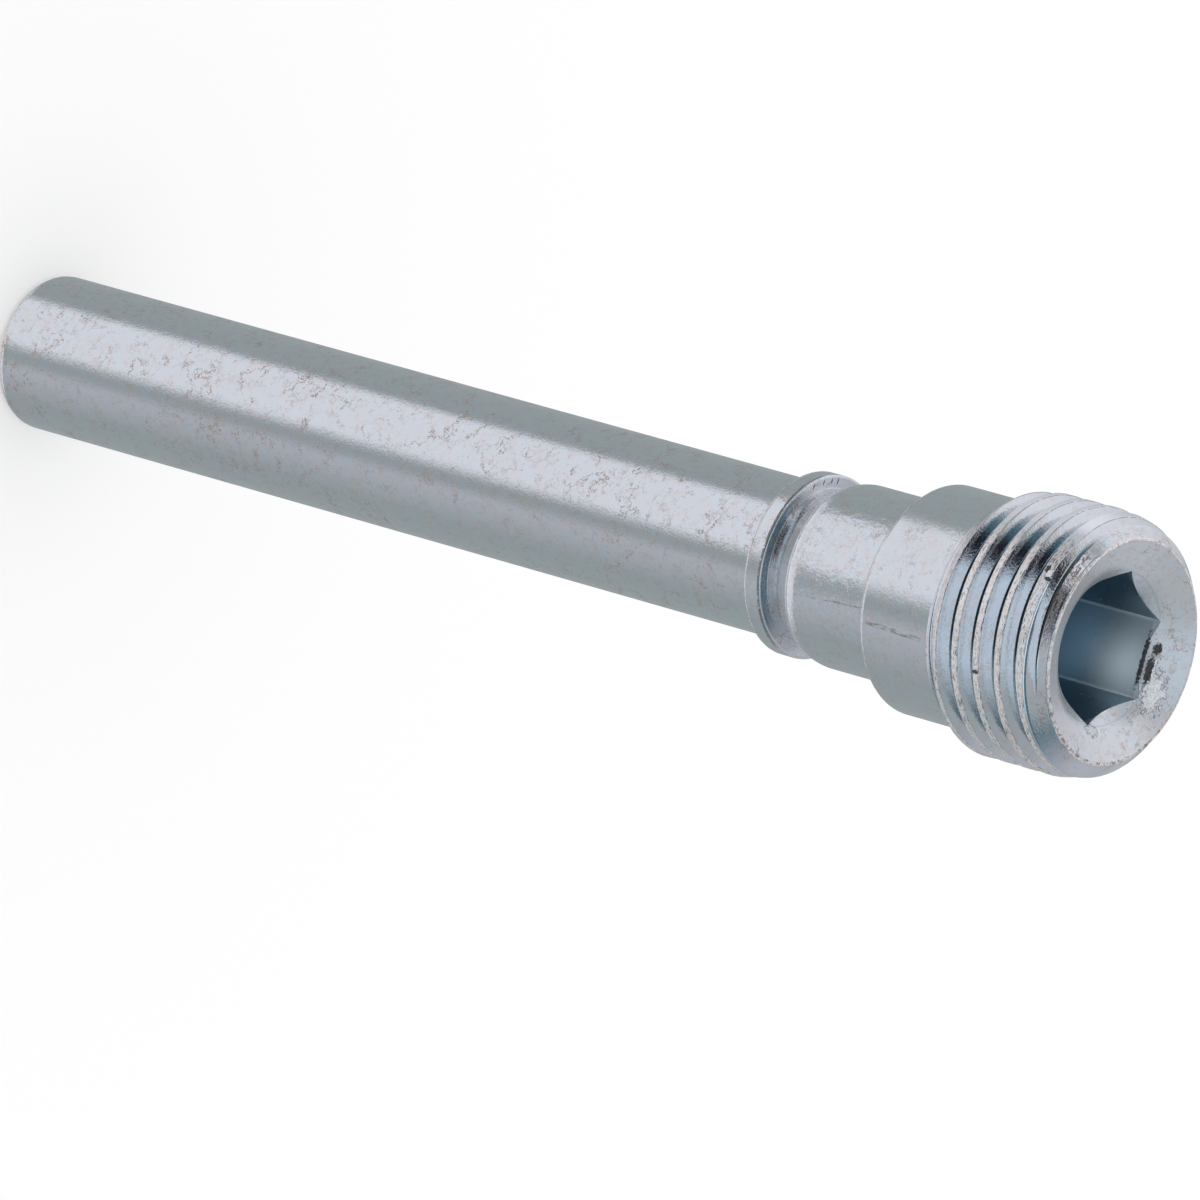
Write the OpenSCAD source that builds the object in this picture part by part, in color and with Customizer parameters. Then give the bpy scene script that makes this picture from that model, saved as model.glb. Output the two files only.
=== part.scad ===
// Brake pad pin, turned from one bar of steel and zinc plated.
// From the tail end up it has a plain shank, a collar, a ring groove, a neck,
// a shoulder and a fine threaded head with a hexagon socket.
// It stands on its tail end, and +Z runs along the axis to the head.

/* [Shank] */
// Diameter of the plain shank that the brake pads slide on
shank_d = 5.95; // [5.5:0.05:6.4]
// Length of the plain shank from the tail end to the collar
shank_l = 38.25; // [26:0.25:56]
// Radius of the rounded edge of the tail end
tail_round = 0.45; // [0.2:0.05:0.9]

/* [Collar and ring groove] */
// Diameter of the collar and of the neck above the groove
collar_d = 6.9; // [6.7:0.05:7.6]
// Width of the collar
collar_w = 0.8; // [0.5:0.05:1.6]
// Depth of the ring groove below the collar
groove_depth = 0.5; // [0.3:0.05:0.8]
// Width of the flat floor of the groove
groove_floor_w = 0.45; // [0.3:0.05:1.2]
// Length of the ramp from the groove floor up to the neck
ramp_l = 0.88; // [0.5:0.02:1.6]
// Length of the neck from the ramp to the shoulder
neck_l = 3.92; // [2.5:0.02:6]
// Bevel that breaks the edges of the collar and the neck
edge_break = 0.08; // [0.04:0.01:0.15]

/* [Shoulder] */
// Length of the shoulder from the neck to the thread
shoulder_l = 3.46; // [2:0.02:6]
// Bevel on the lower edge of the shoulder
shoulder_bevel = 0.34; // [0.2:0.02:0.6]
// Radius of the inner corners under the collar and the shoulder
corner_round = 0.2; // [0.1:0.02:0.22]

/* [Thread] */
// Outer diameter of the thread
thread_d = 9.92; // [9.8:0.01:10.2]
// Pitch of the right hand thread
pitch = 1; // [0.9:0.05:1.25]
// Length of the threaded head, both of its bevels included
thread_l = 5.64; // [4.5:0.02:9]
// Depth of the thread groove
thread_depth = 0.55; // [0.45:0.01:0.62]
// Width of the flat root of the thread groove
root_w = 0.1; // [0.05:0.01:0.12]
// Length of the bevel that leads from the shoulder up to the crest of the thread
start_bevel = 0.9; // [0.4:0.05:1.2]
// Diameter of the rim at the end of the head
rim_d = 8.28; // [7.4:0.02:8.4]
// Height and width of the bevel at the end of the thread
end_bevel = 0.62; // [0.4:0.02:0.7]
// Length over which the last turns taper down to the end bevel
taper_l = 1; // [0.6:0.05:2]
// Angle round the axis at which the thread groove crosses its lower edge
thread_turn = 168; // [0:2:358]

/* [Hexagon socket] */
// Size of the hexagon key across its flats
key_w = 5; // [4:0.05:5.5]
// Depth of the dished end from the rim to the mouth of the socket
dish_depth = 0.59; // [0.3:0.01:0.8]
// Depth of the hexagon from the mouth of the socket
socket_depth = 5.2; // [4:0.1:6.5]
// Depth of the round pilot hole below the hexagon
pilot_extra = 0.8; // [0.4:0.1:1.5]

/* [Hidden] */

// Steps round a full circle, and flat faces in one turn of the thread groove
round_steps = 96;
turn_steps = 48;
// Gap between the root of the thread and the shoulder under it, on the diameter
shoulder_relief = 0.22;
// Gap round the corners of the hexagon at its mouth, on the diameter
mouth_gap = 0.07;
// How much smaller the pilot hole is than the key, and the angle of its drilled point
pilot_gap = 0.2;
drill_point = 118;
// Half of the angle between the flanks of the thread
flank = 30;
// How far cutting shapes run past the metal that they cut
cut_past = 0.1;

shank_r = shank_d / 2;
collar_r = collar_d / 2;
floor_r = collar_r - groove_depth;
thread_r = thread_d / 2;
root_r = thread_r - thread_depth;
shoulder_r = root_r - shoulder_relief / 2;
rim_r = rim_d / 2;
corner_r = key_w / 2 / cos(30);
mouth_r = corner_r + mouth_gap / 2;
pilot_r = (key_w - pilot_gap) / 2;

collar_z = shank_l;
groove_z = collar_z + collar_w;
ramp_z = groove_z + groove_floor_w;
neck_z = ramp_z + ramp_l;
shoulder_z = neck_z + neck_l;
thread_z = shoulder_z + shoulder_l;
total_l = thread_z + thread_l;
bevel_z = total_l - end_bevel;
mouth_z = total_l - dish_depth;
bevel_h = mouth_r - key_w / 2;
socket_z = mouth_z - socket_depth;
pilot_z = socket_z - pilot_extra;

// Angle in degrees that the groove turns through, with a little more at each end
groove_lead = 0.6 * pitch;
groove_turns = (thread_l + 2 * groove_lead) / pitch;
groove_steps = ceil(groove_turns * turn_steps);

// One corner of the groove section at one step along its helix
function groove_point(step, radius, half_w) =
    let (turned = 360 * step / turn_steps, at = thread_turn + turned - 360 * groove_lead / pitch)
    [radius * cos(at), radius * sin(at), thread_z - groove_lead + pitch * turned / 360 + half_w];

// Half of the width of the groove at a radius
function groove_half(radius) = root_w / 2 + (radius - root_r) * tan(flank);

// Fills the inner corner where a wall of the given radius meets a face above it
module corner_fill(radius, z) {
    translate([radius, z - corner_round])
        difference() {
            translate([-cut_past, 0])
                square([corner_round + cut_past, corner_round + cut_past]);
            translate([corner_round, 0])
                circle(corner_round, $fn = round_steps);
        }
}

// Half section of the turned blank, from the axis outwards
module half_section() {
    difference() {
        polygon([
            [0, 0],
            [shank_r, 0],
            [shank_r, collar_z],
            [collar_r - edge_break, collar_z],
            [collar_r, collar_z + edge_break],
            [collar_r, groove_z - edge_break],
            [collar_r - edge_break, groove_z],
            [floor_r, groove_z],
            [floor_r, ramp_z],
            [collar_r - edge_break / 2, neck_z - edge_break / 2],
            [collar_r, neck_z + edge_break],
            [collar_r, shoulder_z],
            [shoulder_r - shoulder_bevel, shoulder_z],
            [shoulder_r, shoulder_z + shoulder_bevel],
            [shoulder_r, thread_z],
            [thread_r, thread_z + start_bevel],
            [thread_r, bevel_z - taper_l],
            [rim_r + end_bevel, bevel_z],
            [rim_r, total_l],
            [mouth_r, mouth_z],
            [key_w / 2, mouth_z - bevel_h],
            [0, mouth_z - bevel_h],
        ]);
        translate([shank_r - tail_round, 0])
            difference() {
                translate([0, -cut_past])
                    square([tail_round + cut_past, tail_round + cut_past]);
                translate([0, tail_round])
                    circle(tail_round, $fn = round_steps);
            }
    }
    corner_fill(shank_r, collar_z);
    corner_fill(collar_r, shoulder_z);
}

// Hexagon hole over a drilled pilot hole
module socket() {
    translate([0, 0, socket_z])
        cylinder(h = socket_depth + cut_past, r = corner_r, $fn = 6);
    translate([0, 0, pilot_z])
        cylinder(h = pilot_extra + cut_past, r = pilot_r, $fn = round_steps);
    translate([0, 0, pilot_z - pilot_r / tan(drill_point / 2)])
        cylinder(h = pilot_r / tan(drill_point / 2), r1 = 0, r2 = pilot_r, $fn = round_steps);
}

// Cutting tool for the thread: a groove section swept along a right hand helix
module thread_groove() {
    outer_r = thread_r + cut_past;
    sides = 4;
    last = sides * groove_steps;
    points = [
        for (step = [0:groove_steps])
            for (corner = [[root_r, -1], [root_r, 1], [outer_r, 1], [outer_r, -1]])
                groove_point(step, corner[0], corner[1] * groove_half(corner[0]))
    ];
    faces = concat(
        [[0, 1, 2], [0, 2, 3]],
        [[last, last + 2, last + 1], [last, last + 3, last + 2]],
        [
            for (step = [0:groove_steps - 1])
                for (side = [0:sides - 1])
                    let (a = sides * step + side, b = sides * step + (side + 1) % sides)
                        each [[a, a + sides, b], [b, a + sides, b + sides]]
        ]
    );
    polyhedron(points = points, faces = faces);
}

module pad_pin() {
    color([0.72, 0.75, 0.79])
        difference() {
            rotate_extrude($fn = round_steps)
                half_section();
            thread_groove();
            socket();
        }
}

pad_pin();
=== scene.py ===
import math
import bmesh
import bpy
from mathutils import Matrix


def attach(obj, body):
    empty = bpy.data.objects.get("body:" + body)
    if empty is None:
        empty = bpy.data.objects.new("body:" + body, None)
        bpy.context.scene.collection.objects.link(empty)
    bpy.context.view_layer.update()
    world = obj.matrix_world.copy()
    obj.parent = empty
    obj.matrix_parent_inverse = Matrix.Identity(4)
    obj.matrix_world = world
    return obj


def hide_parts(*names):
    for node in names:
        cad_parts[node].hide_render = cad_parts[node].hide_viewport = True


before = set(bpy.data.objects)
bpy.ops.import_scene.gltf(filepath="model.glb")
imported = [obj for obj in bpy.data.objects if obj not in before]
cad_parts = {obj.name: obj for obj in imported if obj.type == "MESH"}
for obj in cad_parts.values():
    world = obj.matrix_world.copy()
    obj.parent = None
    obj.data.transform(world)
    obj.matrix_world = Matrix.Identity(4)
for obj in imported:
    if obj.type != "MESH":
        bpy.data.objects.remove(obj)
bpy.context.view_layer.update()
mm = 0.001

cameraValues = {
    "place": (0.00336, -0.42514, 0.37533),
    "right": (-0.27508, 0.60676, 0.74577),
    "up": (-0.96142, -0.17360, -0.21338),
    "back": (0.0, -0.77570, 0.63110),
    "lens": 445.616,
}


def makeCamera(values):
    data = bpy.data.cameras.new("camera")
    data.lens = values["lens"]
    data.sensor_width = 36
    data.clip_start, data.clip_end = 0.05, 10
    camera = bpy.data.objects.new("camera", data)
    bpy.context.scene.collection.objects.link(camera)
    turn = Matrix((values["right"], values["up"], values["back"])).transposed().to_4x4()
    camera.matrix_world = Matrix.Translation(values["place"]) @ turn
    bpy.context.scene.camera = camera
    return camera


makeCamera(cameraValues)
print("camera made")

# radii, heights and widths in millimetres, heights from the tail end
pin = {
    "steps": 192,
    "shankR": 2.975, "tailRound": 0.45,
    "collarZ": 38.25, "collarR": 3.45, "collarBreak": 0.11,
    "grooveZ": 39.05, "undercut": 0.05, "floorR": 2.95, "rampZ": 39.5, "neckZ": 40.38,
    "shoulderZ": 44.3, "shoulderR": 4.3, "shoulderBevel": 0.34,
    "insideRound": 0.2,
    "threadZ": 47.76, "crestR": 4.96, "startBevel": 0.9,
    "taperZ": 51.78, "bevelZ": 52.78, "rimR": 4.14, "topZ": 53.4,
    "mouthR": 2.9218, "mouthZ": 52.81, "mouthBevel": 0.4218,
    "keyR": 2.5, "socketZ": 47.61, "pilotR": 2.4, "pilotZ": 46.81, "drillHalfAngle": 59,
}
# radii that round the corners of the half section
rounds = {
    "floor": 0.03, "rampFoot": 0.9, "rampTop": 1.5, "shoulderFoot": 0.06, "shoulder": 0.15, "threadFoot": 0.12,
    "firstCrest": 0.12, "taper": 0.6, "endBevel": 0.18, "rim": 0.09, "mouth": 2.2,
}
threadGroove = {
    "steps": 96, "pitch": 1.0, "turn": 168, "lead": 0.6, "length": 5.64,
    "rootR": 4.4534, "rootRound": 0.13,
    # half section above the round root: radius and half width
    "section": [(4.90, 0.331), (4.935, 0.354), (4.955, 0.378), (4.975, 0.415), (5.10, 0.58)],
}


def newObject(name, bm):
    mesh = bpy.data.meshes.new(name)
    bm.to_mesh(mesh)
    bm.free()
    obj = bpy.data.objects.new(name, mesh)
    bpy.context.scene.collection.objects.link(obj)
    return obj


def chain(bm, points):
    verts = [bm.verts.new(p) for p in points]
    for a, b in zip(verts, verts[1:]):
        bm.edges.new((a, b))
    return verts


def closeUp(bm):
    bmesh.ops.remove_doubles(bm, verts=bm.verts, dist=0.0004)
    bmesh.ops.recalc_face_normals(bm, faces=bm.faces)


def makeBlank(p, r):
    # corner points of the half section, with the radius that rounds each one
    corners = [
        (0, 0, 0),
        (p["shankR"], 0, p["tailRound"]),
        (p["shankR"], p["collarZ"], p["insideRound"]),
        (p["collarR"], p["collarZ"], p["collarBreak"]),
        (p["collarR"], p["grooveZ"], p["collarBreak"]),
        (p["floorR"], p["grooveZ"] - p["undercut"], r["floor"]),
        (p["floorR"], p["rampZ"], r["rampFoot"]),
        (p["collarR"], p["neckZ"], r["rampTop"]),
        (p["collarR"], p["shoulderZ"], p["insideRound"]),
        (p["shoulderR"] - p["shoulderBevel"], p["shoulderZ"], r["shoulderFoot"]),
        (p["shoulderR"], p["shoulderZ"] + p["shoulderBevel"], r["shoulder"]),
        (p["shoulderR"], p["threadZ"], r["threadFoot"]),
        (p["crestR"], p["threadZ"] + p["startBevel"], r["firstCrest"]),
        (p["crestR"], p["taperZ"], r["taper"]),
        (p["rimR"] + p["topZ"] - p["bevelZ"], p["bevelZ"], r["endBevel"]),
        (p["rimR"], p["topZ"], r["rim"]),
        (p["mouthR"], p["mouthZ"], r["mouth"]),
        (p["keyR"], p["mouthZ"] - p["mouthBevel"], 0),
        (0, p["mouthZ"] - p["mouthBevel"], 0),
    ]
    bm = bmesh.new()
    verts = chain(bm, [(x, 0, z) for x, z, _ in corners])
    for vert, (_, _, radius) in zip(list(verts), corners):
        if radius:
            ends = [e.other_vert(vert).co - vert.co for e in vert.link_edges]
            half = ends[0].angle(ends[1]) / 2
            reach = radius / math.tan(half)
            bmesh.ops.bevel(bm, geom=[vert], offset=reach, offset_type="OFFSET", segments=5,
                            profile=0.5, affect="VERTICES", material=-1)
    bmesh.ops.spin(bm, geom=bm.verts[:] + bm.edges[:], cent=(0, 0, 0), axis=(0, 0, 1),
                   angle=math.tau, steps=p["steps"], use_merge=True)
    closeUp(bm)
    return newObject("padPin", bm)


def makeGrooveCutter(p, t):
    turns = (t["length"] + 2 * t["lead"]) / t["pitch"]
    start = math.radians(t["turn"]) - math.tau * t["lead"] / t["pitch"]
    angles = [math.radians(a) for a in range(-60, 61, 12)]
    root = [(t["rootR"] + t["rootRound"] * (1 - math.cos(a)), 0, t["rootRound"] * math.sin(a)) for a in angles]
    lower = [(r, 0, -w) for r, w in reversed(t["section"])]
    upper = [(r, 0, w) for r, w in t["section"]]
    bm = bmesh.new()
    ring = chain(bm, lower + root + upper)
    bm.faces.new(ring)
    bmesh.ops.rotate(bm, verts=bm.verts, cent=(0, 0, 0), matrix=Matrix.Rotation(start, 3, "Z"))
    bmesh.ops.translate(bm, verts=bm.verts, vec=(0, 0, p["threadZ"] - t["lead"]))
    steps = math.ceil(turns * t["steps"])
    first = bm.faces[:]
    copy = bmesh.ops.duplicate(bm, geom=first)
    bmesh.ops.spin(bm, geom=[g for g in copy["geom"] if isinstance(g, bmesh.types.BMFace)],
                   cent=(0, 0, 0), axis=(0, 0, 1), dvec=(0, 0, t["pitch"] / t["steps"]),
                   angle=math.tau * steps / t["steps"], steps=steps)
    closeUp(bm)
    return newObject("grooveCutter", bm)


def makeSocketCutter(p):
    bm = bmesh.new()
    over = p["topZ"] + 0.5
    bmesh.ops.create_circle(bm, cap_ends=True, segments=6, radius=p["keyR"] / math.cos(math.pi / 6))
    bmesh.ops.rotate(bm, verts=bm.verts, cent=(0, 0, 0), matrix=Matrix.Rotation(math.pi / 6, 3, "Z"))
    bmesh.ops.translate(bm, verts=bm.verts, vec=(0, 0, p["socketZ"]))
    up = bmesh.ops.extrude_face_region(bm, geom=bm.faces[:])
    top = [v for v in up["geom"] if isinstance(v, bmesh.types.BMVert)]
    bmesh.ops.translate(bm, verts=top, vec=(0, 0, over - p["socketZ"]))
    closeUp(bm)
    return newObject("socketCutter", bm)


def makePilotCutter(p):
    bm = bmesh.new()
    point = p["pilotZ"] - p["pilotR"] / math.tan(math.radians(p["drillHalfAngle"]))
    chain(bm, [(0, 0, point), (p["pilotR"], 0, p["pilotZ"]), (p["pilotR"], 0, p["socketZ"] + 1),
               (0, 0, p["socketZ"] + 1)])
    bmesh.ops.spin(bm, geom=bm.verts[:] + bm.edges[:], cent=(0, 0, 0), axis=(0, 0, 1),
                   angle=math.tau, steps=p["steps"], use_merge=True)
    closeUp(bm)
    return newObject("pilotCutter", bm)


def cut(obj, cutter):
    step = obj.modifiers.new("cut", "BOOLEAN")
    step.operation, step.solver, step.object = "DIFFERENCE", "MANIFOLD", cutter
    bpy.context.view_layer.update()
    done = bpy.data.meshes.new_from_object(obj.evaluated_get(bpy.context.evaluated_depsgraph_get()))
    obj.modifiers.clear()
    obj.data = done
    bpy.data.objects.remove(cutter)


def smoothByAngle(mesh, degrees):
    bm = bmesh.new()
    bm.from_mesh(mesh)
    bmesh.ops.remove_doubles(bm, verts=bm.verts, dist=0.0002)
    bmesh.ops.recalc_face_normals(bm, faces=bm.faces)
    for face in bm.faces:
        face.smooth = True
    for edge in bm.edges:
        edge.smooth = len(edge.link_faces) == 2 and edge.calc_face_angle(0) < math.radians(degrees)
    bm.to_mesh(mesh)
    bm.free()


def flattenFaces(obj):
    # the normals of broad faces stay their own beside the small roundings
    weigh = obj.modifiers.new("weigh", "WEIGHTED_NORMAL")
    weigh.mode, weigh.weight, weigh.keep_sharp = "FACE_AREA", 90, True
    bpy.context.view_layer.update()
    done = bpy.data.meshes.new_from_object(obj.evaluated_get(bpy.context.evaluated_depsgraph_get()))
    obj.modifiers.clear()
    obj.data = done


padPin = makeBlank(pin, rounds)
print("blank turned:", len(padPin.data.polygons), "faces")
cut(padPin, makeGrooveCutter(pin, threadGroove))
print("thread cut:", len(padPin.data.polygons), "faces")
cut(padPin, makePilotCutter(pin))
cut(padPin, makeSocketCutter(pin))
smoothByAngle(padPin.data, 28)
flattenFaces(padPin)
padPin.data.transform(Matrix.Scale(mm, 4))
padPin.data.update()
print("socket cut:", len(padPin.data.polygons), "faces")


def put(tree, socket, value):
    if isinstance(value, bpy.types.NodeSocket):
        tree.links.new(value, socket)
    elif value is not None:
        socket.default_value = value


def calc(tree, operation, a, b=None, c=None):
    n = tree.nodes.new("ShaderNodeMath")
    n.operation = operation
    for socket, value in zip(n.inputs, (a, b, c)):
        put(tree, socket, value)
    return n.outputs[0]


def vectorCalc(tree, operation, a, b=None, scale=None):
    n = tree.nodes.new("ShaderNodeVectorMath")
    n.operation = operation
    put(tree, n.inputs[0], a)
    put(tree, n.inputs[1], b)
    if scale is not None:
        put(tree, n.inputs["Scale"], scale)
    return n.outputs["Value" if operation == "LENGTH" else "Vector"]


def split(tree, at):
    apart = tree.nodes.new("ShaderNodeSeparateXYZ")
    put(tree, apart.inputs[0], at)
    return apart.outputs


def fromAxis(tree, at):
    return vectorCalc(tree, "LENGTH", vectorCalc(tree, "MULTIPLY", at, (1, 1, 0)))


def step(tree, value, low, high, toLow=0.0, toHigh=1.0):
    n = tree.nodes.new("ShaderNodeMapRange")
    n.interpolation_type = "SMOOTHSTEP"
    for socket, v in zip(n.inputs, (value, low, high, toLow, toHigh)):
        put(tree, socket, v)
    return n.outputs[0]


def noise(tree, place, scale, detail=2.0, roughness=0.5, colour=False):
    n = tree.nodes.new("ShaderNodeTexNoise")
    put(tree, n.inputs["Vector"], place)
    put(tree, n.inputs["Scale"], scale)
    put(tree, n.inputs["Detail"], detail)
    put(tree, n.inputs["Roughness"], roughness)
    return n.outputs["Color" if colour else "Fac"]


def mixColour(tree, factor, a, b):
    n = tree.nodes.new("ShaderNodeMix")
    n.data_type = "RGBA"
    put(tree, n.inputs["Factor"], factor)
    put(tree, n.inputs[6], a if isinstance(a, bpy.types.NodeSocket) else (*a, 1))
    put(tree, n.inputs[7], b if isinstance(b, bpy.types.NodeSocket) else (*b, 1))
    return n.outputs[2]


def ramp(tree, value, stops):
    n = tree.nodes.new("ShaderNodeValToRGB")
    elements = n.color_ramp.elements
    while len(elements) > 1:
        elements.remove(elements[-1])
    elements[0].position, elements[0].color = stops[0][0], (*stops[0][1], 1)
    for place, colour in stops[1:]:
        elements.new(place).color = (*colour, 1)
    put(tree, n.inputs[0], value)
    return n.outputs[0]


def linear(rgb):
    return tuple(c / 3294.6 if c <= 10.3 else ((c / 255 + 0.055) / 1.055) ** 2.4 for c in rgb)


def newGroup(name, inputs, outputs):
    tree = bpy.data.node_groups.new(name, "ShaderNodeTree")
    for label, kind, value in inputs:
        socket = tree.interface.new_socket(label, in_out="INPUT", socket_type="NodeSocket" + kind)
        socket.default_value = value
    for label, kind in outputs:
        tree.interface.new_socket(label, in_out="OUTPUT", socket_type="NodeSocket" + kind)
    return tree, tree.nodes.new("NodeGroupInput").outputs, tree.nodes.new("NodeGroupOutput").inputs


def place(tree, group, **values):
    n = tree.nodes.new("ShaderNodeGroup")
    n.node_tree = group
    for label, value in values.items():
        put(tree, n.inputs[label], value)
    return n.outputs


def makeTurnedZone():
    # one where the distance from the axis and the height are both within the limits
    tree, get, give = newGroup("turnedZone", [
        ("Place", "Vector", (0, 0, 0)), ("Inner", "Float", 0.0), ("Outer", "Float", 10.0),
        ("Lower", "Float", 0.0), ("Upper", "Float", 60.0), ("Soft", "Float", 0.05)], [("Mask", "Float")])
    height = split(tree, get["Place"])["Z"]
    mask = 1.0
    for value, low, high in ((fromAxis(tree, get["Place"]), "Inner", "Outer"), (height, "Lower", "Upper")):
        over = step(tree, value, calc(tree, "SUBTRACT", get[low], get["Soft"]), get[low])
        under = step(tree, value, get[high], calc(tree, "ADD", get[high], get["Soft"]), 1.0, 0.0)
        mask = calc(tree, "MULTIPLY", calc(tree, "MULTIPLY", over, under), mask)
    put(tree, give["Mask"], mask)
    return tree


def makeSpotMask():
    # a ragged spot round one place on the metal
    tree, get, give = newGroup("spotMask", [
        ("Place", "Vector", (0, 0, 0)), ("Centre", "Vector", (0, 0, 0)), ("Size", "Vector", (1, 1, 1)),
        ("Ragged", "Float", 0.4), ("Grain", "Float", 0.5)], [("Mask", "Float")])
    away = vectorCalc(tree, "DIVIDE", vectorCalc(tree, "SUBTRACT", get["Place"], get["Centre"]), get["Size"])
    grain = calc(tree, "SUBTRACT", get["Grain"], 0.5)
    far = calc(tree, "MULTIPLY_ADD", grain, get["Ragged"], vectorCalc(tree, "LENGTH", away))
    put(tree, give["Mask"], step(tree, far, 0.7, 1.0, 1.0, 0.0))
    return tree


def makeHairCracks():
    # short crooked hair lines in the plating, in loose clusters
    tree, get, give = newGroup("hairCracks", [
        ("Place", "Vector", (0, 0, 0)), ("Scale", "Float", 1.0), ("Width", "Float", 0.03),
        ("Share", "Float", 0.3), ("Crooked", "Float", 0.4)], [("Mask", "Float")])
    crooks = noise(tree, get["Place"], calc(tree, "MULTIPLY", get["Scale"], 3.0), 3.0, 0.7, True)
    bend = vectorCalc(tree, "SUBTRACT", crooks, (0.5, 0.5, 0.5))
    bent = vectorCalc(tree, "ADD", get["Place"], vectorCalc(tree, "SCALE", bend, scale=get["Crooked"]))
    cells = tree.nodes.new("ShaderNodeTexVoronoi")
    cells.feature = "DISTANCE_TO_EDGE"
    put(tree, cells.inputs["Vector"], bent)
    put(tree, cells.inputs["Scale"], get["Scale"])
    line = step(tree, cells.outputs["Distance"], calc(tree, "MULTIPLY", get["Width"], 0.35), get["Width"], 1.0, 0.0)
    patch = noise(tree, get["Place"], calc(tree, "MULTIPLY", get["Scale"], 0.8), 1.0)
    broken = noise(tree, bent, calc(tree, "MULTIPLY", get["Scale"], 2.4), 2.0)
    limit = calc(tree, "SUBTRACT", 0.72, calc(tree, "MULTIPLY", get["Share"], 0.5))
    cluster = step(tree, patch, limit, calc(tree, "ADD", limit, 0.05))
    gate = calc(tree, "MULTIPLY", cluster, step(tree, broken, 0.43, 0.52))
    put(tree, give["Mask"], calc(tree, "MULTIPLY", line, gate))
    return tree


def makeSpecks():
    # small separate pits and specks
    tree, get, give = newGroup("specks", [
        ("Place", "Vector", (0, 0, 0)), ("Scale", "Float", 5.0), ("Size", "Float", 0.25), ("Share", "Float", 0.2)],
        [("Mask", "Float")])
    cells = tree.nodes.new("ShaderNodeTexVoronoi")
    put(tree, cells.inputs["Vector"], get["Place"])
    put(tree, cells.inputs["Scale"], get["Scale"])
    chance = tree.nodes.new("ShaderNodeSeparateColor")
    put(tree, chance.inputs[0], cells.outputs["Color"])
    some = calc(tree, "LESS_THAN", chance.outputs[0], get["Share"])
    size = calc(tree, "MULTIPLY", get["Size"], calc(tree, "MULTIPLY_ADD", chance.outputs[1], 0.7, 0.3))
    dot = step(tree, cells.outputs["Distance"], calc(tree, "MULTIPLY", size, 0.6), size, 1.0, 0.0)
    put(tree, give["Mask"], calc(tree, "MULTIPLY", dot, some))
    return tree


def makeTurningLines():
    # height of the fine lines that the lathe leaves round the axis
    tree, get, give = newGroup("turningLines", [
        ("Place", "Vector", (0, 0, 0)), ("Fine", "Float", 14.0)], [("Height", "Float")])
    apart = split(tree, get["Place"])
    along = tree.nodes.new("ShaderNodeCombineXYZ")
    put(tree, along.inputs[0], fromAxis(tree, get["Place"]))
    put(tree, along.inputs[1], calc(tree, "MULTIPLY", apart["X"], 0.012))
    put(tree, along.inputs[2], apart["Z"])
    put(tree, give["Height"], noise(tree, along.outputs[0], get["Fine"], 2.0, 0.6))
    return tree


def makeBelowCrest():
    # how deep a place lies below the turned outline of the threaded head
    tree, get, give = newGroup("belowCrest", [("Place", "Vector", (0, 0, 0))], [("Depth", "Float")])
    height = split(tree, get["Place"])["Z"]
    startSlope = (pin["crestR"] - pin["shoulderR"]) / pin["startBevel"]
    bevelR = pin["rimR"] + pin["topZ"] - pin["bevelZ"]
    taperSlope = (bevelR - pin["crestR"]) / (pin["bevelZ"] - pin["taperZ"])
    outline = pin["crestR"]
    for slope, knownR, knownZ in ((startSlope, pin["shoulderR"], pin["threadZ"]),
                                  (taperSlope, pin["crestR"], pin["taperZ"]), (-1.0, pin["rimR"], pin["topZ"])):
        line = calc(tree, "MULTIPLY_ADD", height, slope, knownR - slope * knownZ)
        outline = calc(tree, "MINIMUM", line, outline)
    put(tree, give["Depth"], calc(tree, "SUBTRACT", outline, fromAxis(tree, get["Place"])))
    return tree


def makeDashes():
    # a broken thin dark line along one side of the pin
    tree, get, give = newGroup("dashes", [
        ("Place", "Vector", (0, 0, 0)), ("Start", "Float", 0.0), ("Shift", "Float", 0.0), ("Lower", "Float", 0.0),
        ("Upper", "Float", 1.0), ("Width", "Float", 0.04)], [("Mask", "Float")])
    apart = split(tree, get["Place"])
    along = calc(tree, "DIVIDE", calc(tree, "SUBTRACT", apart["Z"], get["Lower"]),
                 calc(tree, "SUBTRACT", get["Upper"], get["Lower"]))
    centre = calc(tree, "MULTIPLY_ADD", along, get["Shift"], get["Start"])
    wobble = calc(tree, "MULTIPLY", calc(tree, "SUBTRACT", noise(tree, get["Place"], 3.0, 3.0, 0.7), 0.5), 0.16)
    off = calc(tree, "ABSOLUTE", calc(tree, "ADD", calc(tree, "SUBTRACT", apart["X"], centre), wobble))
    line = step(tree, off, calc(tree, "MULTIPLY", get["Width"], 0.5), get["Width"], 1.0, 0.0)
    inside = calc(tree, "MULTIPLY", step(tree, along, 0.0, 0.03), step(tree, along, 0.97, 1.0, 1.0, 0.0))
    front = calc(tree, "LESS_THAN", apart["Y"], -1.0)
    drawnOut = vectorCalc(tree, "MULTIPLY", get["Place"], (1, 1, 0.2))
    gate = step(tree, noise(tree, drawnOut, 9.0, 2.0, 0.7), 0.40, 0.60)
    mask = calc(tree, "MULTIPLY", calc(tree, "MULTIPLY", line, inside), calc(tree, "MULTIPLY", gate, front))
    put(tree, give["Mask"], mask)
    return tree


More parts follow.
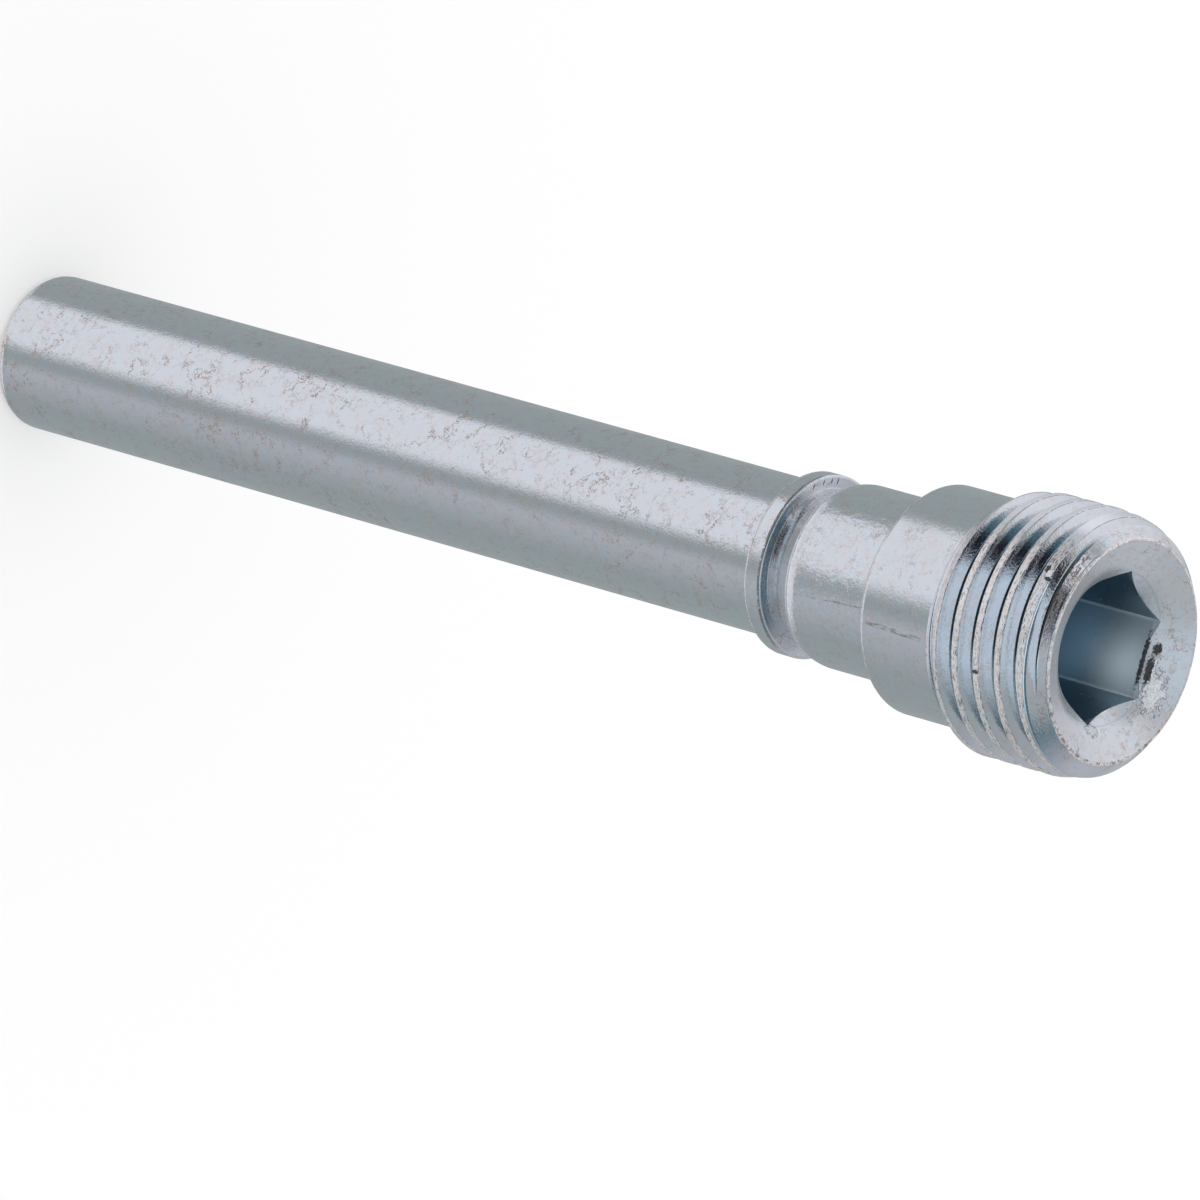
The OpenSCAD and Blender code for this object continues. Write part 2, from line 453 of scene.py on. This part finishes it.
# Tones by place after the photograph, which stay on the pin under any light: painted shade in the socket and in the
# thread roots, painted light on the far flat of the socket and on the ramp face, and painted sheen on the crest tops.
plate = {
    "colour": (0.72, 0.75, 0.79), "warm": (0.745, 0.735, 0.755), "cold": (0.71, 0.765, 0.81),
    "dirtAndPaintedDarkLines": (0.21, 0.17, 0.155), "stain": (0.70, 0.62, 0.58), "paintedSocketShade": (0.42, 0.53, 0.60),
    "worn": (0.86, 0.82, 0.83), "tan": (0.74, 0.62, 0.52), "rust": (0.36, 0.28, 0.235), "black": (0.03, 0.03, 0.032),
    "bright": (0.90, 0.92, 0.95), "paintedGlow": (0.76, 0.90, 0.98), "paintedCrestSheen": (0.80, 0.82, 0.89), "ramp": (0.83, 0.85, 0.90),
    "shankRough": 0.10, "neckRough": 0.12, "threadRough": 0.07, "wornRough": 0.20, "dishRough": 0.28,
    "socketRough": 0.26,
}
# parts of the turned form: inner and outer radius, lower and upper height, softness
zones = {
    "shank": (0, 3.2, -1, 38.3, 0.2), "neck": (3.3, 3.5, 40.3, 44.3, 0.1), "quiet": (3.3, 4.4, 39, 47.7, 0.05),
    "ramp": (3.0, 3.44, 39.60, 40.34, 0.05), "thread": (4.36, 5.2, 47.6, 53.0, 0.05),
    "crest": (4.3, 5.2, 48.15, 52.66, 0.03), "paintedCrestEdgeLine": (4.5, 5.2, 48.15, 52.9, 0.02),
    "root": (4.3, 4.482, 48.1, 53.1, 0.015), "lastTurn": (4.30, 4.54, 52.90, 53.24, 0.03),
    "dish": (2.55, 4.1, 52.45, 53.6, 0.04), "socket": (0, 2.893, 40, 52.9, 0.008),
    "corners": (2.862, 2.90, 47, 52.4, 0.015), "rimCuts": (4.07, 4.17, 53.2, 53.5, 0.012),
    "collarEdge": (3.42, 3.6, 38.915, 38.975, 0.012),
}
# worn turned edges, in the same way
wornEdges = [
    (4.10, 4.32, 44.40, 44.66, 0.05),  # bevel under the shoulder
    (3.42, 3.5, 38.25, 38.36, 0.03),   # tail side edge of the collar
    (4.10, 4.21, 53.31, 53.5, 0.03),   # rim
    (2.3, 3.0, -0.1, 0.25, 0.12),      # tail end
]
# dark marks on single places, the first three painted dark reflections by the socket mouth: centre and size in
# millimetres
darkMarksAndPaintedReflections = [
    ((-0.47, 2.78, 52.72), (0.27, 0.20, 0.20)),
    ((0.36, 2.73, 52.64), (0.62, 0.17, 0.17)),
    ((0.10, 2.525, 52.42), (1.35, 0.06, 0.15)),
    ((2.15, -4.47, 50.61), (0.09, 0.10, 0.15)),
    ((-2.10, -4.32, 52.40), (0.20, 0.20, 0.10)),
    ((-1.75, -4.45, 52.60), (0.10, 0.12, 0.20)),
    ((-2.76, -1.72, 39.01), (0.17, 0.04, 0.05)),
    ((-3.01, -1.22, 39.01), (0.17, 0.04, 0.05)),
    ((-3.15, -0.79, 39.01), (0.17, 0.04, 0.05)),
    ((-3.22, -0.45, 39.01), (0.17, 0.04, 0.05)),
]
# painted highlights on single places: centre and size in millimetres
paintedHighlightSpots = [
    ((1.25, 3.05, 52.88), (0.95, 0.60, 0.35)),
    ((2.98, 0.15, 52.84), (0.30, 0.40, 0.20)),
    ((-1.95, -4.36, 52.55), (0.18, 0.18, 0.18)),
    ((0.30, 2.86, 52.78), (0.85, 0.08, 0.12)),
]
# thin dark dashes along the pin: place at its lower end, shift sideways to its upper end, heights
dashLines = [
    (1.22, -0.20, 40.6, 44.2, 0.035),
    (1.50, 0.08, 44.8, 47.5, 0.10),
]


def makeZincPlate(values):
    zone, spot, crack, speck = makeTurnedZone(), makeSpotMask(), makeHairCracks(), makeSpecks()
    turned, below, dashes = makeTurningLines(), makeBelowCrest(), makeDashes()
    material = bpy.data.materials.new("zincPlate")
    material.use_nodes = True
    tree = material.node_tree
    shader = tree.nodes["Principled BSDF"]
    where = tree.nodes.new("ShaderNodeTexCoord")
    scaled = tree.nodes.new("ShaderNodeMapping")
    scaled.inputs["Scale"].default_value = (1000, 1000, 1000)
    put(tree, scaled.inputs[0], where.outputs["Object"])
    at = scaled.outputs[0]

    def area(inner, outer, lower, upper, soft):
        return place(tree, zone, Place=at, Inner=inner, Outer=outer, Lower=lower, Upper=upper, Soft=soft)["Mask"]

    def atLeastOne(masks):
        total = masks[0]
        for mask in masks[1:]:
            total = calc(tree, "MAXIMUM", total, mask)
        return total

    def less(a, b):
        return calc(tree, "MULTIPLY", a, calc(tree, "SUBTRACT", 1.0, b))

    def shifted(x, y, z):
        return vectorCalc(tree, "ADD", at, (x, y, z))

    shank = area(*zones["shank"])
    neck = area(*zones["neck"])
    thread = area(*zones["thread"])
    dish = area(*zones["dish"])
    rampFace = area(*zones["ramp"])
    radius = fromAxis(tree, at)
    corners = area(*zones["corners"])
    apart = split(tree, at)
    inFlats = step(tree, calc(tree, "SUBTRACT", apart["Z"], radius), 49.84, 49.87, 1.0, 0.0)
    socket = calc(tree, "MULTIPLY", area(*zones["socket"]), inFlats)
    depth = place(tree, below, Place=at)["Depth"]
    crest = calc(tree, "MULTIPLY", area(*zones["crest"]), step(tree, depth, 0.026, 0.040, 1.0, 0.0))
    # painted sheen: the crest tops on the -X side get a pale lavender tone and are less metallic
    paintedCrestSheen = calc(tree, "MULTIPLY", crest, step(tree, apart["X"], -3.9, -2.7, 1.0, 0.0))
    crest = less(crest, paintedCrestSheen)
    # painted dark reflection: thin dark lines at the edges of the crests, strongest on the -X side
    paintedCrestEdgeLine = calc(tree, "MULTIPLY", area(*zones["paintedCrestEdgeLine"]),
                     calc(tree, "MULTIPLY", step(tree, depth, 0.008, 0.016), step(tree, depth, 0.026, 0.04, 1.0, 0.0)))
    paintedCrestEdgeLine = calc(tree, "MULTIPLY", paintedCrestEdgeLine, step(tree, apart["X"], -3.6, -2.4, 1.0, 0.12))
    # painted shade: the thread roots are painted black on one side of the pin only
    root = calc(tree, "MULTIPLY", area(*zones["root"]), step(tree, depth, 0.03, 0.05))
    root = calc(tree, "MULTIPLY", root, step(tree, apart["X"], -3.4, -1.4))
    root = calc(tree, "MULTIPLY", root, step(tree, apart["X"], 0.9, 2.2, 1.0, 0.0))
    streaked = calc(tree, "MULTIPLY", area(*zones["lastTurn"]),
                    calc(tree, "MULTIPLY", step(tree, apart["X"], -3.5, -2.9),
                         step(tree, apart["X"], -0.4, 1.0, 1.0, 0.0)))
    rimCuts = calc(tree, "MULTIPLY", area(*zones["rimCuts"]), step(tree, apart["X"], 1.3, 2.4))
    collarEdge = calc(tree, "MULTIPLY", area(*zones["collarEdge"]),
                      step(tree, apart["Y"], -1.4, -1.0, 1.0, 0.0))
    edges = atLeastOne([area(*edge) for edge in wornEdges] + [crest])

    # colour: clouds of a warmer and a colder tone, stains, worn edges, painted light and shade, then hair cracks and
    # specks
    colour = mixColour(tree, step(tree, noise(tree, at, 1.7, 4.0, 0.65), 0.40, 0.66), values["colour"], values["warm"])
    colour = mixColour(tree, step(tree, noise(tree, shifted(31, 7, 11), 2.4, 3.0), 0.46, 0.70), colour, values["cold"])
    blot = noise(tree, shifted(5, 17, 3), 3.0, 5.0, 0.72)
    colour = mixColour(tree, step(tree, blot, 0.50, 0.68, 0.0, 0.6), colour, values["stain"])
    ragged = noise(tree, vectorCalc(tree, "MULTIPLY", at, (0.22, 0.22, 1)), 17.0, 3.0, 0.7)
    torn = noise(tree, shifted(3, 9, 21), 7.0, 3.0, 0.65)
    worn = calc(tree, "MULTIPLY", edges, step(tree, ragged, 0.40, 0.52))
    colour = mixColour(tree, calc(tree, "MULTIPLY", worn, 0.9), colour, values["worn"])
    colour = mixColour(tree, calc(tree, "MULTIPLY", edges, step(tree, torn, 0.48, 0.62, 0.0, 0.75)), colour,
                       values["tan"])
    # dark cuts, and the painted dark lines at the crest edges
    cutsAndPaintedDarkLines = calc(tree, "MULTIPLY", crest, step(tree, ragged, 0.34, 0.40, 1.0, 0.0))
    cutsAndPaintedDarkLines = calc(tree, "MAXIMUM", cutsAndPaintedDarkLines, calc(tree, "MULTIPLY", calc(tree, "MAXIMUM", paintedCrestEdgeLine, collarEdge),
                                            step(tree, torn, 0.36, 0.48)))
    cutsAndPaintedDarkLines = calc(tree, "MAXIMUM", cutsAndPaintedDarkLines, calc(tree, "MULTIPLY", rimCuts, step(tree, torn, 0.50, 0.58)))
    cutsAndPaintedDarkLines = calc(tree, "MAXIMUM", cutsAndPaintedDarkLines, calc(tree, "MULTIPLY", streaked, step(tree, ragged, 0.44, 0.50, 1.0, 0.0)))
    # painted sheen on the crest tops
    colour = mixColour(tree, paintedCrestSheen, colour, values["paintedCrestSheen"])
    # painted light on the ramp face, which also has duller, less metallic plating
    colour = mixColour(tree, calc(tree, "MULTIPLY", rampFace, 0.55), colour, values["ramp"])
    # painted shade: the inside of the socket gets a dark teal tone
    colour = mixColour(tree, socket, colour, values["paintedSocketShade"])
    # painted highlight: pale lines along the corners of the socket
    colour = mixColour(tree, calc(tree, "MULTIPLY", corners, socket), colour, (0.9, 0.95, 0.97))
    # painted light on the socket's far flat: a round glow and a tone lighter towards the mouth, also less metallic
    farFlat = calc(tree, "MULTIPLY", socket, step(tree, apart["Y"], 2.40, 2.46))
    fromPaintedGlow = vectorCalc(tree, "DIVIDE", vectorCalc(tree, "SUBTRACT", at, (0.40, 2.5, 51.30)), (1.7, 1.0, 2.3))
    paintedGlow = step(tree, vectorCalc(tree, "LENGTH", fromPaintedGlow), 0.0, 1.0, 0.52, 0.0)
    paintedGlow = calc(tree, "MULTIPLY", paintedGlow, farFlat)
    dullAndPaintedLight = calc(tree, "MULTIPLY", farFlat, step(tree, apart["Z"], 49.2, 52.0, 0.0, 0.50))
    dullAndPaintedLight = calc(tree, "MINIMUM", calc(tree, "ADD", dullAndPaintedLight, paintedGlow), 1.0)
    colour = mixColour(tree, dullAndPaintedLight, colour, values["paintedGlow"])
    wide = place(tree, crack, Place=at, Scale=0.75, Width=0.030, Share=0.50, Crooked=1.4)["Mask"]
    thin = place(tree, crack, Place=shifted(13, 5, 29), Scale=1.9, Width=0.044, Share=0.50, Crooked=0.7)["Mask"]
    dots = place(tree, speck, Place=at, Scale=6.0, Size=0.26, Share=0.035)["Mask"]
    edgeDots = calc(tree, "MULTIPLY", place(tree, speck, Place=at, Scale=9.0, Size=0.50, Share=0.45)["Mask"], edges)
    fineGrain, coarseGrain = noise(tree, at, 11.0, 3.0, 0.6), noise(tree, at, 5.0, 3.0, 0.6)
    # dark marks, with painted dark reflections by the socket mouth
    darkMarksAndReflections = atLeastOne([place(tree, spot, Place=at, Centre=c, Size=s, Ragged=1.5, Grain=fineGrain)["Mask"]
                        for c, s in darkMarksAndPaintedReflections])
    lines = calc(tree, "MAXIMUM", wide, calc(tree, "MULTIPLY", thin, 0.7))
    lines = less(lines, calc(tree, "MAXIMUM", socket, thread))
    dashed = atLeastOne([place(tree, dashes, Place=at, Start=start, Shift=shift, Lower=low, Upper=high,
                               Width=width)["Mask"] for start, shift, low, high, width in dashLines])
    lines = calc(tree, "MULTIPLY", lines, calc(tree, "MULTIPLY_ADD", area(*zones["quiet"]), -0.38, 0.78))
    colour = mixColour(tree, lines, colour, values["rust"])
    # dirt colour over specks, worn edge dots, cuts, dashes and the painted dark lines at the crest edges
    dirtAndPaintedDarkLines = atLeastOne([calc(tree, "MULTIPLY", dots, 0.55), calc(tree, "MULTIPLY", edgeDots, 0.6),
                       calc(tree, "MULTIPLY", cutsAndPaintedDarkLines, 0.9), calc(tree, "MULTIPLY", dashed, 0.8)])
    colour = mixColour(tree, dirtAndPaintedDarkLines, colour, values["dirtAndPaintedDarkLines"])
    dirtAndPaintedDarkLines = calc(tree, "MAXIMUM", dirtAndPaintedDarkLines, lines)
    # painted shade in the thread roots
    colour = mixColour(tree, calc(tree, "MULTIPLY", root, 0.93), colour, values["black"])
    # painted highlights: pale, less metallic spots with a torn relief
    paintedHighlights = atLeastOne([place(tree, spot, Place=at, Centre=c, Size=s, Ragged=2.2, Grain=coarseGrain)["Mask"]
                         for c, s in paintedHighlightSpots])
    colour = mixColour(tree, paintedHighlights, colour, values["bright"])
    # dark marks and painted dark reflections
    colour = mixColour(tree, calc(tree, "MULTIPLY", darkMarksAndReflections, 0.95), colour, values["black"])
    put(tree, shader.inputs["Base Color"], colour)

    # gloss
    rough = step(tree, noise(tree, at, 5.0, 3.0, 0.6), 0.3, 0.7, -0.02, 0.03)
    rough = calc(tree, "ADD", rough, values["neckRough"])
    for mask, name in ((shank, "shankRough"), (thread, "threadRough"), (dish, "dishRough"), (socket, "socketRough"),
                       (worn, "wornRough")):
        rough = calc(tree, "MULTIPLY_ADD", mask, calc(tree, "SUBTRACT", values[name], rough), rough)
    rough = calc(tree, "MULTIPLY_ADD", calc(tree, "MAXIMUM", dirtAndPaintedDarkLines, darkMarksAndReflections), 0.35, rough)
    put(tree, shader.inputs["Roughness"], rough)
    metal = calc(tree, "SUBTRACT", 1.0, calc(tree, "MULTIPLY", worn, 0.45))
    metal = calc(tree, "SUBTRACT", metal, calc(tree, "MULTIPLY", paintedCrestSheen, 0.65))
    metal = calc(tree, "SUBTRACT", metal, calc(tree, "MULTIPLY", calc(tree, "MAXIMUM", dirtAndPaintedDarkLines, darkMarksAndReflections), 0.4))
    metal = calc(tree, "SUBTRACT", metal, calc(tree, "MULTIPLY", rampFace, 0.35))
    metal = calc(tree, "SUBTRACT", metal, dullAndPaintedLight)
    metal = calc(tree, "MAXIMUM", metal, 0.0)
    metal = calc(tree, "SUBTRACT", metal, calc(tree, "MULTIPLY", paintedHighlights, 0.35))
    metal = calc(tree, "SUBTRACT", metal, calc(tree, "MULTIPLY", dish, 0.15))
    put(tree, shader.inputs["Metallic"], metal)

    # relief in thousandths of a millimetre: lathe lines, a fine grain, soft ripples and torn edges
    fine = place(tree, turned, Place=at, Fine=9.0)["Height"]
    grain = noise(tree, at, 12.0, 2.0, 0.6)
    ripple = noise(tree, at, 3.4, 1.0)
    height = calc(tree, "MULTIPLY", fine, calc(tree, "MULTIPLY_ADD", dish, 2.0, 0.5))
    height = calc(tree, "MULTIPLY_ADD", grain, calc(tree, "MULTIPLY_ADD", neck, 3.5, 6.5), height)
    height = calc(tree, "MULTIPLY_ADD", ripple, calc(tree, "MULTIPLY_ADD", neck, 14.0, 3.0), height)
    height = calc(tree, "MULTIPLY_ADD", calc(tree, "MULTIPLY", edges, ragged), 22.0, height)
    height = calc(tree, "MULTIPLY_ADD", calc(tree, "MULTIPLY", paintedHighlights, torn), 160.0, height)
    bump = tree.nodes.new("ShaderNodeBump")
    bump.inputs["Strength"].default_value = 1.0
    bump.inputs["Distance"].default_value = 0.000001
    put(tree, bump.inputs["Height"], height)
    put(tree, shader.inputs["Normal"], bump.outputs[0])
    return material


padPin.data.materials.clear()
padPin.data.materials.append(makeZincPlate(plate))
for face in padPin.data.polygons:
    face.material_index = 0
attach(padPin, "root")
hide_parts("pad_pin")
print("pin finished")

studio = {
    "floorSize": 3.0, "floorColour": (0.72, 0.72, 0.72), "floorWhite": 0.29,
    "nadir": "pale", "zenith": "haze",
}
# the few tones of the panels and flags that glossy rays alone see
tones = {
    "pale": (205, 210, 220), "sky": (205, 220, 235), "haze": (175, 190, 205), "soft": (165, 170, 180),
    "grey": (140, 150, 155), "teal": (75, 105, 120), "dark": (25, 25, 35),
}
# broad fields of those tones, by the angle from the front towards the upper side of the picture,
# set where the metal shows its bands in the photograph: one ring for each height
rings = {
    "steepDown": [(-180, "pale"), (-160, "grey"), (-130, "grey"), (-90, "pale"), (100, "pale"), (125, "soft"),
                  (135, "dark"), (150, "dark"), (160, "pale"), (180, "pale")],
    "down": [(-180, "grey"), (-90, "grey"), (-40, "soft"), (-25, "grey"), (-15, "grey"), (0, "pale"), (68, "pale"),
             (75, "grey"), (180, "grey")],
    "belowLevel": [(-180, "soft"), (-90, "grey"), (-40, "sky"), (35, "sky"), (47, "dark"), (68, "dark"), (75, "teal"),
                   (88, "teal"), (100, "pale"), (135, "pale"), (180, "soft")],
    "level": [(-180, "soft"), (-135, "soft"), (-95, "teal"), (75, "teal"), (105, "pale"), (135, "pale"), (180, "soft")],
    "up": [(-180, "soft"), (-100, "grey"), (-20, "soft"), (5, "dark"), (45, "dark"), (60, "pale"), (80, "pale"),
           (90, "grey"), (105, "grey"), (120, "pale"), (135, "pale"), (180, "soft")],
    "steepUp": [(-180, "soft"), (-100, "grey"), (-60, "haze"), (65, "haze"), (85, "dark"), (103, "dark"), (120, "pale"),
                (135, "pale"), (180, "soft")],
}
# height at which each ring starts and is reached in full
ringStarts = [("steepDown", -0.985, -0.955), ("down", -0.84, -0.74), ("belowLevel", -0.50, -0.42),
              ("level", -0.16, -0.06), ("up", 0.48, 0.58), ("steepUp", 0.80, 0.86)]


def makeWorld(values, base):
    world = bpy.data.worlds.new("studio")
    bpy.context.scene.world = world
    world.use_nodes = True
    tree = world.node_tree
    tree.nodes.clear()
    away = tree.nodes.new("ShaderNodeTexCoord").outputs["Generated"]
    apart = tree.nodes.new("ShaderNodeSeparateXYZ")
    put(tree, apart.inputs[0], away)
    flat = tree.nodes.new("ShaderNodeCombineXYZ")
    put(tree, flat.inputs[0], calc(tree, "MULTIPLY", apart.outputs[1], -1.0))
    put(tree, flat.inputs[1], calc(tree, "MULTIPLY", apart.outputs[0], -1.0))
    turn = tree.nodes.new("ShaderNodeTexGradient")
    turn.gradient_type = "RADIAL"
    put(tree, turn.inputs[0], flat.outputs[0])

    def light(tone):
        return tuple(c / b for c, b in zip(linear(tones[tone]), base))

    colour = light(values["nadir"])
    for name, low, high in ringStarts:
        ring = ramp(tree, turn.outputs["Fac"], [(a / 360 + 0.5, light(tone)) for a, tone in rings[name]])
        colour = mixColour(tree, step(tree, apart.outputs[2], low, high), colour, ring)
    colour = mixColour(tree, step(tree, apart.outputs[2], 0.945, 0.970), colour, light(values["zenith"]))
    metalSees = tree.nodes.new("ShaderNodeBackground")
    put(tree, metalSees.inputs[0], colour)
    plain = tree.nodes.new("ShaderNodeBackground")
    plain.inputs[0].default_value = (1, 1, 1, 1)
    pick = tree.nodes.new("ShaderNodeMixShader")
    put(tree, pick.inputs[0], tree.nodes.new("ShaderNodeLightPath").outputs["Is Glossy Ray"])
    put(tree, pick.inputs[1], plain.outputs[0])
    put(tree, pick.inputs[2], metalSees.outputs[0])
    put(tree, tree.nodes.new("ShaderNodeOutputWorld").inputs[0], pick.outputs[0])


def makeFloor(values):
    bm = bmesh.new()
    bmesh.ops.create_grid(bm, x_segments=1, y_segments=1, size=values["floorSize"] / 2)
    floor = newObject("floor", bm)
    material = bpy.data.materials.new("paleFloor")
    material.use_nodes = True
    tree = material.node_tree
    tree.nodes.clear()
    diffuse = tree.nodes.new("ShaderNodeBsdfDiffuse")
    diffuse.inputs[0].default_value = (*values["floorColour"], 1)
    white = tree.nodes.new("ShaderNodeEmission")
    seen = tree.nodes.new("ShaderNodeLightPath").outputs["Is Camera Ray"]
    put(tree, white.inputs["Strength"], calc(tree, "MULTIPLY", seen, values["floorWhite"]))
    both = tree.nodes.new("ShaderNodeAddShader")
    put(tree, both.inputs[0], diffuse.outputs[0])
    put(tree, both.inputs[1], white.outputs[0])
    put(tree, tree.nodes.new("ShaderNodeOutputMaterial").inputs[0], both.outputs[0])
    floor.data.materials.append(material)
    floor.visible_glossy = False
    return floor


makeWorld(studio, plate["colour"])
makeFloor(studio)
bpy.context.scene.view_settings.view_transform = "Standard"
print("studio made")
